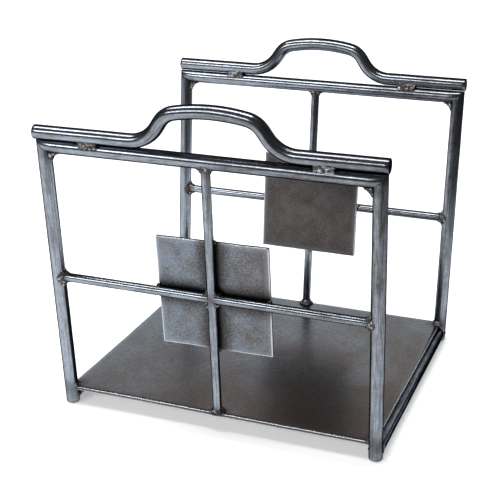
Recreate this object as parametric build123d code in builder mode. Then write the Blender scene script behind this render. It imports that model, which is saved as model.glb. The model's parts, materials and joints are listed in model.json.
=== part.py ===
from build123d import *
import math
import os

# Magazine rack: two welded round-bar frames that lean outwards from a sheet base plate.
# Millimetres, +Z up. Origin on the floor, midway between the four feet; +X to the right,
# -Y towards the front frame.

# ---- Bar and sheet stock ----
frame_bar_d = 12.7          # legs, top rails, handle bars and side bars
cross_bar_d = 8.2           # centre bars and cross bars
plate_t = 3.2               # base plate
panel_t = 3.0               # square panels

# ---- Frames ----
leg_spacing = 300.0         # between the two leg axes of a frame
foot_spread = 261.0         # between the two frames' own planes, at floor level
frame_lean = 4.7            # degrees that each frame leans outwards
rail_height = 260.3         # top rail's axis above the floor
cross_height = 134.1        # cross bars' axis above the floor
foot_round = 2.2            # rounded edge at the bottom of each leg

# ---- Handle bars ----
handle_gap = 0.3            # between a handle bar and the rail it lies on
handle_overhang = 0.0       # handle bar's end past the leg's outer flank, mean of both ends
handle_shift = 0.8          # handle bar's middle, off the middle of its frame
hump_foot = 57.5            # half the hump's width, where its slopes start
hump_shoulder = 40.0        # half the hump's width at its shoulders
hump_rise = 26.0            # shoulders above the straight ends
hump_crown = 7.5            # apex of the two crown lines above the shoulders
hump_foot_r = 31.0          # bend radius at the foot of each slope
hump_shoulder_r = 20.0      # bend radius at each shoulder
crown_flat = 2.0            # straight left on each crown line, beside its bends
handle_end_chamfer = 0.5

# ---- Panels ----
panel_side = 105.0
panel_gap = 0.1             # between a panel and the bars that it is tacked to

# ---- Base ----
side_bar_lift = 2.3         # side bars' underside above the floor
plate_overhang = 2.9        # plate's front and rear edge, beyond the frames' own planes
seat_gap = 0.1              # between the plate and the side bars that it rests on

# ---- Welds ----
corner_weld = 9.0           # leg length of the fillets in the inside top corners
corner_weld_w = 7.0         # width of those fillets across the bars
pad_length = 18.0           # weld pads that hold the handle bars
pad_depth = 11.0            # pads' width across the bars
pad_bite = 3.2              # how far a pad stops short of the two bars' axes
collar_run = 3.6            # weld collars' length along a bar
collar_flare = 2.8          # collars' extra radius, along the bar that they meet
collar_side = 1.2           # collars' extra radius, across that bar
collar_lip = 0.3            # collars' extra radius at their thin end
crossing_weld = 3.6         # fillets in the corners of a crossing
crossing_weld_w = 4.4
foot_weld_drop = 2.4        # how far the centre bar's foot weld laps the plate's edge
tack_r = 2.6                # panels' tack welds
tack_offset = 2.8           # a tack's middle, beside the axis of the bar that it is on
plate_weld_flare = 3.4      # plate corner welds, beyond a leg's surface
plate_weld_rise = 3.4
bead_flare = 0.8            # beads at the side bars' ends
bead_run = 3.0
stitch_length = 16.0        # stitch welds under the plate
stitch_size = 4.2
stitch_places = (-80.0, 0.0, 80.0)
cope_trim = 1.0             # feather edge dressed off a bar that is coped to its own size

# ---- What is different on the two hand-made frames ----
FRAMES = {
    "front": {
        "side": -1,
        "handle_out": 1.4,              # handle bar's middle, out from the rail's
        "handle_turn": 0.75,            # degrees the handle bar is turned on its rail, left end outwards
        "hump_shift": 8.5,
        "pad_insets": (45.5, 45.0),     # left and right pad's middle, in from its leg's axis
        "centre_shift": 1.5,            # centre bar, off the middle
        "panel_shift": 1.8,             # panel's middle, off the middle of the frame
        "panel_turn": 0.8,              # degrees that the panel sits turned, anticlockwise from the front
    },
    "rear": {
        "side": 1,
        "handle_out": 0.0,
        "handle_turn": 0.0,
        "hump_shift": 2.6,
        "pad_insets": (58.5, 53.0),
        "centre_shift": -1.0,
        "panel_shift": 0.0,
        "panel_turn": 0.0,
    },
}

# The panel's left, right, top and bottom edge, as directions in the frame's face
PANEL_EDGES = ((-1, 0), (1, 0), (0, 1), (0, -1))

# ---- Worked out from the sizes above ----
frame_r = frame_bar_d / 2
cross_r = cross_bar_d / 2
weld_root = frame_r / 2                             # how deep in a frame bar a weld's outline starts
crossing_root = cross_r / 2
half_spacing = leg_spacing / 2
lean_rad = math.radians(frame_lean)
rail_s = rail_height / math.cos(lean_rad)           # up a frame's slope, from the floor
cross_s = cross_height / math.cos(lean_rad)
handle_s = rail_s + frame_bar_d + handle_gap
side_bar_z = side_bar_lift + frame_r
plate_under = side_bar_z + frame_r + seat_gap
plate_top = plate_under + plate_t
plate_leg_y = foot_spread / 2 + plate_top * math.tan(lean_rad)      # legs' axes at the plate's top
plate_half_depth = plate_leg_y + plate_overhang
side_bar_half = foot_spread / 2 + side_bar_z * math.tan(lean_rad)

os.makedirs("parts", exist_ok=True)


def save(piece, name):
    """Label a finished piece and write it as one STEP file."""
    piece.part.label = name
    export_step(piece.part, f"parts/{name}.step")


def slope(side):
    """Direction up a frame's slope."""
    return Vector(0, side * math.sin(lean_rad), math.cos(lean_rad))


def outward(side):
    """Direction out from the bay, square to a frame."""
    return Vector(0, side * math.cos(lean_rad), -math.sin(lean_rad))


def on_frame(side, u, s, out=0.0):
    """Point of a frame: u to the right, s up the slope from the floor, out from the bay."""
    foot = Vector(u, side * foot_spread / 2, 0)
    return foot + slope(side) * s + outward(side) * out


def face_plane(side, u=0.0, s=0.0, out=0.0):
    """Plane of a frame's face: local x to the right and local y up the slope."""
    across = Vector(1, 0, 0)
    return Plane(origin=on_frame(side, u, s, out), x_dir=across, z_dir=across.cross(slope(side)))


def bar_section(side, u, s, along):
    """Plane square to a bar that runs along a given direction."""
    return Plane(origin=on_frame(side, u, s), x_dir=outward(side), z_dir=along)


def mitre_plane(side, hand):
    """Plane of the 45 degree mitre at a top corner, facing the rail; hand is -1 left or 1 right."""
    facing = slope(side) - Vector(hand, 0, 0)
    return Plane(origin=on_frame(side, hand * half_spacing, rail_s), z_dir=facing.normalized())


def make_leg(side, hand):
    """Leg: square to the floor at its rounded foot, mitred to the rail at its top."""
    spare = frame_bar_d
    with BuildPart() as leg:
        with BuildSketch(bar_section(side, hand * half_spacing, -spare, slope(side))):
            Circle(frame_r)
        extrude(amount=rail_s + 2 * spare)
        split(bisect_by=Plane.XY, keep=Keep.TOP)
        split(bisect_by=mitre_plane(side, hand), keep=Keep.BOTTOM)
        fillet(leg.edges().group_by(Axis.Z)[0], radius=foot_round)
    return leg


def make_top_rail(side):
    """Top rail: mitred to a leg at each end."""
    start = -half_spacing - frame_bar_d
    with BuildPart() as rail:
        with BuildSketch(bar_section(side, start, rail_s, Vector(1, 0, 0))):
            Circle(frame_r)
        extrude(amount=-2 * start)
        for hand in (-1, 1):
            split(bisect_by=mitre_plane(side, hand), keep=Keep.TOP)
    return rail


def handle_out_at(sizes, u):
    """How far out from the rail the handle bar lies, at u."""
    return sizes["handle_out"] - u * math.tan(math.radians(sizes["handle_turn"]))


def make_handle_bar(sizes):
    """Handle bar: one bar bent up into a hump with two slopes and a crowned top."""
    side = sizes["side"]
    half_length = half_spacing + frame_r + handle_overhang
    middle = sizes["hump_shift"]
    apex = hump_rise + hump_crown
    slope_angle = math.atan2(hump_rise, hump_foot - hump_shoulder)
    crown_angle = math.atan2(hump_crown, hump_shoulder)
    shoulder_run = hump_shoulder_r * math.tan((slope_angle - crown_angle) / 2)
    crown_run = math.hypot(hump_shoulder, hump_crown) - shoulder_run - crown_flat
    crown_r = crown_run / math.tan(crown_angle)
    route = (
        (handle_shift - half_length, 0),
        (middle - hump_foot, 0),
        (middle - hump_shoulder, hump_rise),
        (middle, apex),
        (middle + hump_shoulder, hump_rise),
        (middle + hump_foot, 0),
        (handle_shift + half_length, 0),
    )
    bends = (hump_foot_r, hump_shoulder_r, crown_r, hump_shoulder_r, hump_foot_r)
    turn = math.radians(sizes["handle_turn"])
    along = Vector(math.cos(turn), 0, 0) - outward(side) * math.sin(turn)
    start = on_frame(side, 0, handle_s, sizes["handle_out"])
    with BuildPart() as handle:
        with BuildLine(Plane(origin=start, x_dir=along, z_dir=along.cross(slope(side)))) as route_line:
            FilletPolyline(*route, radius=bends)
        with BuildSketch(Plane(origin=route_line.wires()[0] @ 0, z_dir=route_line.wires()[0] % 0)):
            Circle(frame_r)
        sweep(path=route_line.wires()[0])
        end_faces = handle.faces().filter_by(GeomType.PLANE)
        chamfer(end_faces.edges(), length=handle_end_chamfer)
    return handle


def make_centre_bar(side, u, rail):
    """Centre bar: coped to the rail's underside, standing on the base plate's edge."""
    with BuildPart() as bar:
        with BuildSketch(bar_section(side, u, 0, slope(side))):
            Circle(cross_r)
        extrude(amount=rail_s)
        split(bisect_by=Plane.XY.offset(plate_top), keep=Keep.TOP)
        add(rail.part, mode=Mode.SUBTRACT)
    return bar


def make_cross_bar(side, hand, centre_u, leg, centre_bar):
    """Half of the cross bar: coped to a leg at one end and to the centre bar at the other."""
    start = centre_u + hand * cope_trim
    length = abs(hand * half_spacing - start)
    with BuildPart() as bar:
        with BuildSketch(bar_section(side, start, cross_s, Vector(hand, 0, 0))):
            Circle(cross_r)
        extrude(amount=length)
        add(leg.part, mode=Mode.SUBTRACT)
        add(centre_bar.part, mode=Mode.SUBTRACT)
    return bar


def make_panel(sizes):
    """Square panel on the bay side of the cross bars, centred on them up the frame."""
    side = sizes["side"]
    bar_side = -(cross_r + panel_gap)
    with BuildPart() as panel:
        with BuildSketch(face_plane(side, sizes["panel_shift"], cross_s, bar_side)):
            Rectangle(panel_side, panel_side, rotation=sizes["panel_turn"])
        extrude(amount=side * panel_t)
    return panel


def web_outline(side, u, s, right, up, size):
    """Triangle for a fillet weld in an inside corner; right and up (-1 or 1) say where it opens to."""
    with BuildSketch(face_plane(side, u, s)) as outline:
        with BuildLine():
            Polyline((0, 0), (right * size, 0), (0, up * size), (0, 0))
        make_face()
    return outline.sketch


def make_corner_welds(side, legs, rail):
    """Fillets in the two inside top corners, between a leg and the rail."""
    with BuildPart() as welds:
        for hand in (-1, 1):
            corner_u = hand * (half_spacing - weld_root)
            corner_s = rail_s - weld_root
            outline = web_outline(side, corner_u, corner_s, -hand, -1, corner_weld + weld_root)
            extrude(outline, amount=corner_weld_w / 2, both=True)
        for bar in (*legs, rail):
            add(bar.part, mode=Mode.SUBTRACT)
    return welds


def make_handle_welds(sizes, handle, rail):
    """Weld pads in the groove between the handle bar and the rail."""
    side = sizes["side"]
    height = handle_s - rail_s - 2 * pad_bite
    left_inset, right_inset = sizes["pad_insets"]
    with BuildPart() as pads:
        for u in (-half_spacing + left_inset, half_spacing - right_inset):
            start = on_frame(side, u - pad_length / 2, (rail_s + handle_s) / 2, handle_out_at(sizes, u) / 2)
            with BuildSketch(Plane(origin=start, x_dir=outward(side), z_dir=(1, 0, 0))):
                Rectangle(pad_depth, height)
            extrude(amount=pad_length)
        add(handle.part, mode=Mode.SUBTRACT)
        add(rail.part, mode=Mode.SUBTRACT)
    return pads


def collar_sections(side, u, s, along, across_u):
    """Wide and narrow section of a weld collar round a cross or centre bar.

    The collar grows in the direction along, from the frame bar at (u, s) that the thinner bar
    meets. The wide section lies in the frame bar, and is longer along it than across it;
    across_u says that the frame bar runs along u.
    """
    side_r = cross_r + collar_side
    near = math.sqrt(frame_r**2 - side_r**2) - collar_lip
    far = frame_r + collar_run
    base = on_frame(side, u, s)
    long_dir = Vector(1, 0, 0) if across_u else slope(side)
    with BuildSketch(Plane(origin=base + along * near, x_dir=long_dir, z_dir=along)) as wide:
        Ellipse(cross_r + collar_flare, side_r)
    with BuildSketch(Plane(origin=base + along * far, x_dir=long_dir, z_dir=along)) as narrow:
        Circle(cross_r + collar_lip)
    return [wide.sketch, narrow.sketch]


def make_cross_bar_welds(side, legs, cross_bars):
    """Collars where the two cross bars meet the legs."""
    with BuildPart() as welds:
        for hand in (-1, 1):
            loft(collar_sections(side, hand * half_spacing, cross_s, Vector(-hand, 0, 0), False))
        for bar in (*legs, *cross_bars):
            add(bar.part, mode=Mode.SUBTRACT)
    return welds


def make_centre_bar_top_weld(side, u, rail, centre_bar):
    """Collar where the centre bar meets the rail."""
    with BuildPart() as weld:
        loft(collar_sections(side, u, rail_s, slope(side) * -1, True))
        add(rail.part, mode=Mode.SUBTRACT)
        add(centre_bar.part, mode=Mode.SUBTRACT)
    return weld


def make_centre_bar_foot_weld(side, u, centre_bar, plate):
    """Collar where the centre bar stands on the plate, lapping down over the plate's edge."""
    foot = on_frame(side, u, plate_top / math.cos(lean_rad))
    low_plane = Plane(origin=foot - Vector(0, 0, foot_weld_drop), x_dir=(1, 0, 0), z_dir=(0, 0, 1))
    with BuildPart() as weld:
        with BuildSketch(low_plane):
            Ellipse(cross_r + collar_flare, cross_r + collar_side)
        extrude(amount=foot_weld_drop)
        with BuildSketch(low_plane.offset(foot_weld_drop)):
            Ellipse(cross_r + collar_flare, cross_r + collar_side)
        with BuildSketch(bar_section(side, u, (plate_top + collar_run) / math.cos(lean_rad), slope(side))):
            Circle(cross_r + collar_lip)
        loft()
        add(centre_bar.part, mode=Mode.SUBTRACT)
        add(plate.part, mode=Mode.SUBTRACT)
    return weld


def make_crossing_welds(side, u, centre_bar, cross_bars):
    """Four small fillets in the corners of the crossing."""
    with BuildPart() as welds:
        for right in (-1, 1):
            for up in (-1, 1):
                corner_u = u + right * crossing_root
                corner_s = cross_s + up * crossing_root
                outline = web_outline(side, corner_u, corner_s, right, up, crossing_weld + cross_r)
                extrude(outline, amount=crossing_weld_w / 2, both=True)
        for bar in (centre_bar, *cross_bars):
            add(bar.part, mode=Mode.SUBTRACT)
    return welds


def make_panel_tack_welds(sizes, panel, bars):
    """Tack welds where the panel's edges cross the bars."""
    side = sizes["side"]
    with BuildPart() as tacks:
        for right, up in PANEL_EDGES:
            edge_u = sizes["panel_shift"] + right * panel_side / 2
            u = edge_u if right else sizes["centre_shift"] + tack_offset
            s = cross_s + up * panel_side / 2 if up else cross_s + tack_offset
            with Locations(on_frame(side, u, s, -cross_r)):
                Sphere(tack_r)
        for piece in (panel, *bars):
            add(piece.part, mode=Mode.SUBTRACT)
    return tacks


def make_base_plate(legs):
    """Base plate: its front and rear edges lie in the frames, its corners are notched round the legs."""
    with BuildPart() as plate:
        with BuildSketch(Plane.XY.offset(plate_under)):
            Rectangle(leg_spacing, 2 * plate_half_depth)
        extrude(amount=plate_t)
        for leg in legs:
            add(leg.part, mode=Mode.SUBTRACT)
    return plate


def make_side_bar(hand, legs):
    """Side bar: runs between a front foot and a rear foot, coped to both legs."""
    half_length = side_bar_half - cope_trim
    with BuildPart() as bar:
        with BuildSketch(Plane.XZ.offset(-half_length)):
            with Locations((hand * half_spacing, side_bar_z)):
                Circle(frame_r)
        extrude(amount=2 * half_length)
        for leg in legs:
            add(leg.part, mode=Mode.SUBTRACT)
    return bar


def make_plate_corner_welds(plate, legs):
    """Cone-shaped welds on the plate round each leg, kept to the plate's own quarter."""
    with BuildPart() as welds:
        for leg_x in (-half_spacing, half_spacing):
            for leg_y in (-plate_leg_y, plate_leg_y):
                with Locations((leg_x, leg_y, plate_top + plate_weld_rise / 2)):
                    Cone(frame_r + plate_weld_flare, frame_r + collar_lip, plate_weld_rise)
        for leg in legs:
            add(leg.part, mode=Mode.SUBTRACT)
        add(plate.part, mode=Mode.SUBTRACT)
        with BuildSketch(Plane.XY.offset(plate_top)):
            Rectangle(leg_spacing, 2 * plate_half_depth)
        extrude(amount=plate_weld_rise, mode=Mode.INTERSECT)
    return welds


def make_side_bar_welds(plate, legs, side_bars):
    """Beads round the side bars where they meet the legs."""
    with BuildPart() as welds:
        for leg_x in (-half_spacing, half_spacing):
            for end in (-1, 1):
                start = Vector(leg_x, end * side_bar_half, side_bar_z)
                inwards = Vector(0, -end, 0)
                with BuildSketch(Plane(origin=start, x_dir=(1, 0, 0), z_dir=inwards)):
                    Circle(frame_r + bead_flare)
                extrude(amount=frame_r + bead_run)
        for piece in (plate, *legs, *side_bars):
            add(piece.part, mode=Mode.SUBTRACT)
        for end in (-1, 1):
            # nothing of a bead lies in front of the leg's middle
            split(bisect_by=Plane.XZ.offset(end * (side_bar_half - cope_trim)),
                  keep=Keep.BOTTOM if end > 0 else Keep.TOP)
    return welds


def make_plate_side_welds(side_bars):
    """Stitch welds in the corner between the plate's underside and each side bar's inner flank."""
    with BuildPart() as welds:
        for hand in (-1, 1):
            for y in stitch_places:
                x = hand * (half_spacing - weld_root)
                section = Plane(origin=(x, y - stitch_length / 2, plate_under), x_dir=(-hand, 0, 0),
                                z_dir=(0, hand, 0))
                with BuildSketch(section):
                    with BuildLine():
                        Polyline((-weld_root, 0), (stitch_size, 0), (0, -stitch_size), (-weld_root, 0))
                    make_face()
                extrude(amount=hand * stitch_length)
        for bar in side_bars:
            add(bar.part, mode=Mode.SUBTRACT)
    return welds


def build_frame(name, sizes, legs, plate):
    """Every piece of one frame apart from its legs."""
    side = sizes["side"]
    centre_u = sizes["centre_shift"]
    rail = make_top_rail(side)
    handle = make_handle_bar(sizes)
    centre_bar = make_centre_bar(side, centre_u, rail)
    cross_bars = [make_cross_bar(side, hand, centre_u, leg, centre_bar) for hand, leg in zip((-1, 1), legs)]
    panel = make_panel(sizes)
    save(rail, f"{name}_top_rail")
    save(handle, f"{name}_handle_bar")
    save(centre_bar, f"{name}_centre_bar")
    save(cross_bars[0], f"{name}_cross_bar_left")
    save(cross_bars[1], f"{name}_cross_bar_right")
    save(panel, f"{name}_panel")
    save(make_corner_welds(side, legs, rail), f"{name}_corner_welds")
    save(make_handle_welds(sizes, handle, rail), f"{name}_handle_welds")
    save(make_cross_bar_welds(side, legs, cross_bars), f"{name}_cross_bar_welds")
    save(make_crossing_welds(side, centre_u, centre_bar, cross_bars), f"{name}_crossing_welds")
    save(make_centre_bar_top_weld(side, centre_u, rail, centre_bar), f"{name}_centre_bar_top_weld")
    save(make_centre_bar_foot_weld(side, centre_u, centre_bar, plate), f"{name}_centre_bar_foot_weld")
    tacks = make_panel_tack_welds(sizes, panel, (centre_bar, *cross_bars))
    save(tacks, f"{name}_panel_tack_welds")


frame_legs = {name: [make_leg(sizes["side"], hand) for hand in (-1, 1)] for name, sizes in FRAMES.items()}
all_legs = [leg for legs in frame_legs.values() for leg in legs]
for name, legs in frame_legs.items():
    save(legs[0], f"{name}_leg_left")
    save(legs[1], f"{name}_leg_right")

base_plate = make_base_plate(all_legs)
side_bars = [make_side_bar(hand, all_legs) for hand in (-1, 1)]
save(base_plate, "base_plate")
save(side_bars[0], "side_bar_left")
save(side_bars[1], "side_bar_right")
save(make_plate_corner_welds(base_plate, all_legs), "plate_corner_welds")
save(make_side_bar_welds(base_plate, all_legs, side_bars), "side_bar_welds")
save(make_plate_side_welds(side_bars), "plate_side_welds")

for name, sizes in FRAMES.items():
    build_frame(name, sizes, frame_legs[name], base_plate)
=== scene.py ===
"""Magazine rack in welded round bar, with every bar, sheet and weld in its own finish.

Metres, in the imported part's own frame: +Z up, -Y towards the front frame, the floor at Z = 0.
"""

from __future__ import annotations

import json
import logging
import math
import random
from dataclasses import dataclass, field
from enum import Enum
from typing import Any, Iterable, Sequence, Union

import bmesh
import bpy
from bmesh.types import BMEdge, BMesh, BMVert
from mathutils import Matrix, Vector, noise

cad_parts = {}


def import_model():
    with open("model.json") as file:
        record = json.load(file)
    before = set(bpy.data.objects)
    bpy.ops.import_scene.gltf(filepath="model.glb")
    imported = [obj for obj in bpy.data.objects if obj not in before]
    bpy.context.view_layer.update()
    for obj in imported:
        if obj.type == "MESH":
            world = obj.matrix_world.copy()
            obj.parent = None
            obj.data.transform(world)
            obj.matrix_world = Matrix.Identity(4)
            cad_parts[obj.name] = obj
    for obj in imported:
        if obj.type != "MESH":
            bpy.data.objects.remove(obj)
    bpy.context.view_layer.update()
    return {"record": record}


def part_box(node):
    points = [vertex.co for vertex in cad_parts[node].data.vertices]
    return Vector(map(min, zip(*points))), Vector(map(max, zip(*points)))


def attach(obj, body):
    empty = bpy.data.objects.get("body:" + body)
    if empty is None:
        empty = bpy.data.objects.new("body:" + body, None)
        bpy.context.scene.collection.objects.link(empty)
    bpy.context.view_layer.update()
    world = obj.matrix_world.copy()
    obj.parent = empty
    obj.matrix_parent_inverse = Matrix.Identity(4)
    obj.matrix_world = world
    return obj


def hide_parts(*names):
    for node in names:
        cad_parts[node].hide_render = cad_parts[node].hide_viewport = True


LOG = logging.getLogger("magazine_rack")
BODY = "root"
PLACE = "place"                 # attribute: where a point is in its own bar or sheet, in metres
SOOT = "soot"                   # attribute: how sooty the steel is beside a weld, 0 to 1
RELIEF = "relief"               # attribute: how high a point of a weld stands, 0 to 1
RIGHT = Vector((1, 0, 0))
UP = Vector((0, 0, 1))
MM = 0.001
CREASE = 48                     # degrees: an edge that turns more stays sharp
SQUARE = 60                     # degrees: an edge that turns more is one of a sheet's own
HANDLE_GAP = 0.3 * MM           # between a handle bar and its rail

Colour = tuple[float, float, float]
Input = Union["Signal", float, Sequence[float]]


class Side(Enum):
    """Which of the two frames, and which way it leans along Y."""

    FRONT = -1
    REAR = 1

    @property
    def prefix(self) -> str:
        """Start of the names of this frame's pieces."""
        return self.name.lower()


class Hand(Enum):
    """Left or right, as seen from the front."""

    LEFT = -1
    RIGHT = 1

    @property
    def suffix(self) -> str:
        """End of the names of the pieces on this hand."""
        return self.name.lower()


class Slot(Enum):
    """The record's material slots."""

    BAR = "bar_steel"
    THIN_BAR = "thin_bar_steel"
    SHEET = "sheet_steel"
    WELD = "weld_metal"


# ---------------------------------------------------------------------------------------------
# Shader maths
# ---------------------------------------------------------------------------------------------


class Signal:
    """A shader value that takes part in Python arithmetic."""

    def __init__(self, graph: Graph, socket: bpy.types.NodeSocket) -> None:
        """Wraps a socket.

        Args:
            graph: the material that the socket belongs to.
            socket: the output socket that carries the value.
        """
        self.graph = graph
        self.socket = socket

    def _math(self, operation: str, first: Input, second: Input = 0.0) -> Signal:
        """Adds one Math node.

        Args:
            operation: the Math node's operation.
            first: its first value.
            second: its second value.

        Returns:
            The node's result.
        """
        return self.graph.out("ShaderNodeMath", {"operation": operation}, {0: first, 1: second})

    def __add__(self, other: Input) -> Signal:
        """Sum."""
        return self._math("ADD", self, other)

    def __radd__(self, other: Input) -> Signal:
        """Sum, reflected."""
        return self._math("ADD", other, self)

    def __sub__(self, other: Input) -> Signal:
        """Difference."""
        return self._math("SUBTRACT", self, other)

    def __rsub__(self, other: Input) -> Signal:
        """Difference, reflected."""
        return self._math("SUBTRACT", other, self)

    def __mul__(self, other: Input) -> Signal:
        """Product."""
        return self._math("MULTIPLY", self, other)

    def __rmul__(self, other: Input) -> Signal:
        """Product, reflected."""
        return self._math("MULTIPLY", other, self)

    def __abs__(self) -> Signal:
        """Size without sign."""
        return self._math("ABSOLUTE", self)

    def least(self, other: Input) -> Signal:
        """The smaller of two values."""
        return self._math("MINIMUM", self, other)

    def between(self, low: float, high: float) -> Signal:
        """Rises smoothly from 0 at low to 1 at high; falls where low is the larger.

        Args:
            low: value that gives 0.
            high: value that gives 1.

        Returns:
            A mask from 0 to 1.
        """
        settings = {"interpolation_type": "SMOOTHSTEP", "clamp": True}
        values = {"Value": self, "From Min": low, "From Max": high, "To Min": 0.0, "To Max": 1.0}
        return self.graph.out("ShaderNodeMapRange", settings, values)


class Graph:
    """The nodes of one material."""

    def __init__(self, name: str) -> None:
        """Starts an empty material.

        Args:
            name: the material's name.
        """
        self.material = bpy.data.materials.new(name)
        self.material.use_nodes = True
        self.tree = self.material.node_tree
        self.tree.nodes.clear()

    def node(self, kind: str, settings: dict[str, Any], inputs: dict[Any, Input]) -> bpy.types.Node:
        """Adds any node: its settings first, then the values or links of its sockets.

        Args:
            kind: the node's type.
            settings: properties of the node.
            inputs: a Signal, number or vector for each socket, by name or index.

        Returns:
            The new node.
        """
        node = self.tree.nodes.new(kind)
        for key, value in settings.items():
            setattr(node, key, value)
        for key, value in inputs.items():
            socket = self._socket(node.inputs, key)
            if isinstance(value, Signal):
                self.tree.links.new(value.socket, socket)
            elif isinstance(value, (int, float)):
                socket.default_value = value
            else:
                wanted = len(socket.default_value)
                socket.default_value = (*value, 1.0)[:wanted]
        return node

    def out(self, kind: str, settings: dict[str, Any], inputs: dict[Any, Input], output: Any = 0) -> Signal:
        """Adds a node and wraps one of its outputs.

        Args:
            kind: the node's type.
            settings: properties of the node.
            inputs: values or links of its sockets.
            output: name or index of the output.

        Returns:
            That output.
        """
        node = self.node(kind, settings, inputs)
        return Signal(self, self._socket(node.outputs, output))

    @staticmethod
    def _socket(sockets: Any, key: Any) -> bpy.types.NodeSocket:
        """Finds a socket.

        Args:
            sockets: a node's inputs or outputs.
            key: the socket's index, or the name of the one in use.

        Returns:
            The socket.
        """
        if isinstance(key, int):
            return sockets[key]
        return next(s for s in sockets if s.name == key and s.enabled)

    def attribute(self, name: str, output: str = "Fac") -> Signal:
        """A mesh attribute: "Fac" for a number and "Vector" for a place."""
        return self.out("ShaderNodeAttribute", {"attribute_name": name}, {}, output)

    def object_place(self) -> Signal:
        """The point's own coordinates, in metres."""
        return self.out("ShaderNodeTexCoord", {}, {}, "Object")

    def scaled(self, vector: Signal, factors: Sequence[float]) -> Signal:
        """A vector, each axis multiplied by its own factor."""
        return self.out("ShaderNodeVectorMath", {"operation": "MULTIPLY"}, {0: vector, 1: factors})

    def axes(self, vector: Signal) -> tuple[Signal, Signal, Signal]:
        """The three parts of a vector."""
        node = self.node("ShaderNodeSeparateXYZ", {}, {"Vector": vector})
        return tuple(Signal(self, socket) for socket in node.outputs)

    def noise(self, vector: Signal, scale: float, detail: float = 3.0, rough: float = 0.55) -> Signal:
        """Fractal noise from 0 to 1.

        Args:
            vector: where to read it.
            scale: spots per metre, roughly.
            detail: octaves.
            rough: how strong the finer octaves are.

        Returns:
            The noise value.
        """
        inputs = {"Vector": vector, "Scale": scale, "Detail": detail, "Roughness": rough}
        return self.out("ShaderNodeTexNoise", {}, inputs, "Fac")

    def rim(self, start: float, end: float) -> Signal:
        """Rises from 0 to 1 where the surface turns away from the eye."""
        return self.out("ShaderNodeLayerWeight", {}, {"Blend": 0.5}, "Facing").between(start, end)

    def blend(self, amount: Input, first: Any, second: Any) -> Signal:
        """Mixes two colours.

        Args:
            amount: 0 for the first, 1 for the second.
            first: a colour or a colour signal.
            second: a colour or a colour signal.

        Returns:
            The mixed colour.
        """
        inputs = {"Factor": amount, "A": first, "B": second}
        return self.out("ShaderNodeMix", {"data_type": "RGBA"}, inputs, "Result")

    def bump(self, height: Signal, distance: float, strength: float, below: Signal | None = None) -> Signal:
        """Raises the surface.

        Args:
            height: 0 to 1.
            distance: height of the relief in metres.
            strength: 0 to 1.
            below: a bump to add to.

        Returns:
            The new normal.
        """
        inputs: dict[str, Input] = {"Height": height, "Distance": distance, "Strength": strength}
        if below is not None:
            inputs["Normal"] = below
        return self.out("ShaderNodeBump", {}, inputs, "Normal")

    def finish(self, inputs: dict[str, Input]) -> bpy.types.Material:
        """Ends the material with its shader.

        Args:
            inputs: values or links of the Principled shader's sockets.

        Returns:
            The material.
        """
        shader = self.out("ShaderNodeBsdfPrincipled", {}, inputs, "BSDF")
        self.node("ShaderNodeOutputMaterial", {}, {"Surface": shader})
        return self.material

    def metal(self, colour: Signal, rough: Signal, normal: Signal, edge_tint: Colour) -> bpy.types.Material:
        """Ends the material as bare metal.

        Args:
            colour: the metal's colour.
            rough: its roughness.
            normal: its relief.
            edge_tint: its brightness where it is seen edge-on.

        Returns:
            The material.
        """
        return self.finish({"Base Color": colour, "Metallic": 1.0, "Roughness": rough, "Normal": normal,
                            "Specular Tint": edge_tint})


# ---------------------------------------------------------------------------------------------
# Finishes
# ---------------------------------------------------------------------------------------------


@dataclass(frozen=True)
class BarFinish:
    """Drawn round bar: dark oxide, rubbed bright in lines along the bar, sooty beside its welds; painted
    light makes it brighter on the rack's left and near the floor, and painted shade darkens its silhouettes.
    """

    name: str
    oxide: Colour = (0.070, 0.061, 0.057)
    steel: Colour = (0.280, 0.318, 0.372)
    soot: Colour = (0.016, 0.012, 0.010)
    rim_dark: Colour = (0.020, 0.019, 0.019)
    edge_tint: Colour = (0.12, 0.12, 0.12)
    fine_lines: float = 900.0
    broad_lines: float = 300.0
    line_stretch: float = 0.06
    blotches: float = 160.0
    pits: float = 1150.0
    line_relief: float = 0.00006
    pit_relief: float = 0.00008
    # Painted light: the next two ranges brighten bars towards the left of the rack and near the floor, as
    # brighter reflections would.
    left_wear: tuple[float, float] = (0.17, -0.17)
    low_wear: tuple[float, float] = (0.22, 0.06)

    def build(self) -> bpy.types.Material:
        """Builds the material.

        Returns:
            The material.
        """
        g = Graph(self.name)
        place = g.attribute(PLACE, "Vector")
        soot = g.attribute(SOOT)
        drawn = g.scaled(place, (1, 1, self.line_stretch))
        fine = g.noise(drawn, self.fine_lines, 2.0)
        broad = g.noise(drawn, self.broad_lines, 3.0)
        blotch = g.noise(g.object_place(), self.blotches, 6.0, 0.68)
        pits = g.noise(g.object_place(), self.pits, 2.0, 0.5)
        side, _, height = g.axes(g.object_place())
        # Painted light and painted reflection: brighter on the left of the rack and low down.
        side_and_low_painted_light = side.between(*self.left_wear) * 0.30 + height.between(*self.low_wear) * 0.15
        # The rubbed lines and blotches are real wear; this sum also carries that painted light.
        rubbed = (fine.between(0.36, 0.64) * 0.40 + broad.between(0.38, 0.64) * 0.26
                  + blotch.between(0.38, 0.66) * 0.22 + side_and_low_painted_light)
        pitted = pits.between(0.62, 0.70)
        bright = rubbed.least(1.0) * (1 - pitted * 0.8)
        ragged = (soot * (0.6 + blotch * 0.8)).least(1.0)
        steel = g.blend(bright, self.oxide, self.steel)
        sooty = g.blend(ragged, steel, self.soot)
        # Painted shade: darker where the surface turns away from the eye, at the bar's silhouettes.
        colour = g.blend(g.rim(0.44, 0.80) * 0.92, sooty, self.rim_dark)
        rough = 0.21 - bright * 0.05 + fine * 0.03 + ragged * 0.24
        lines = g.bump(fine, self.line_relief, 0.12)
        normal = g.bump(1 - pitted, self.pit_relief, 0.15, lines)
        return g.metal(colour, rough, normal, self.edge_tint)


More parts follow.
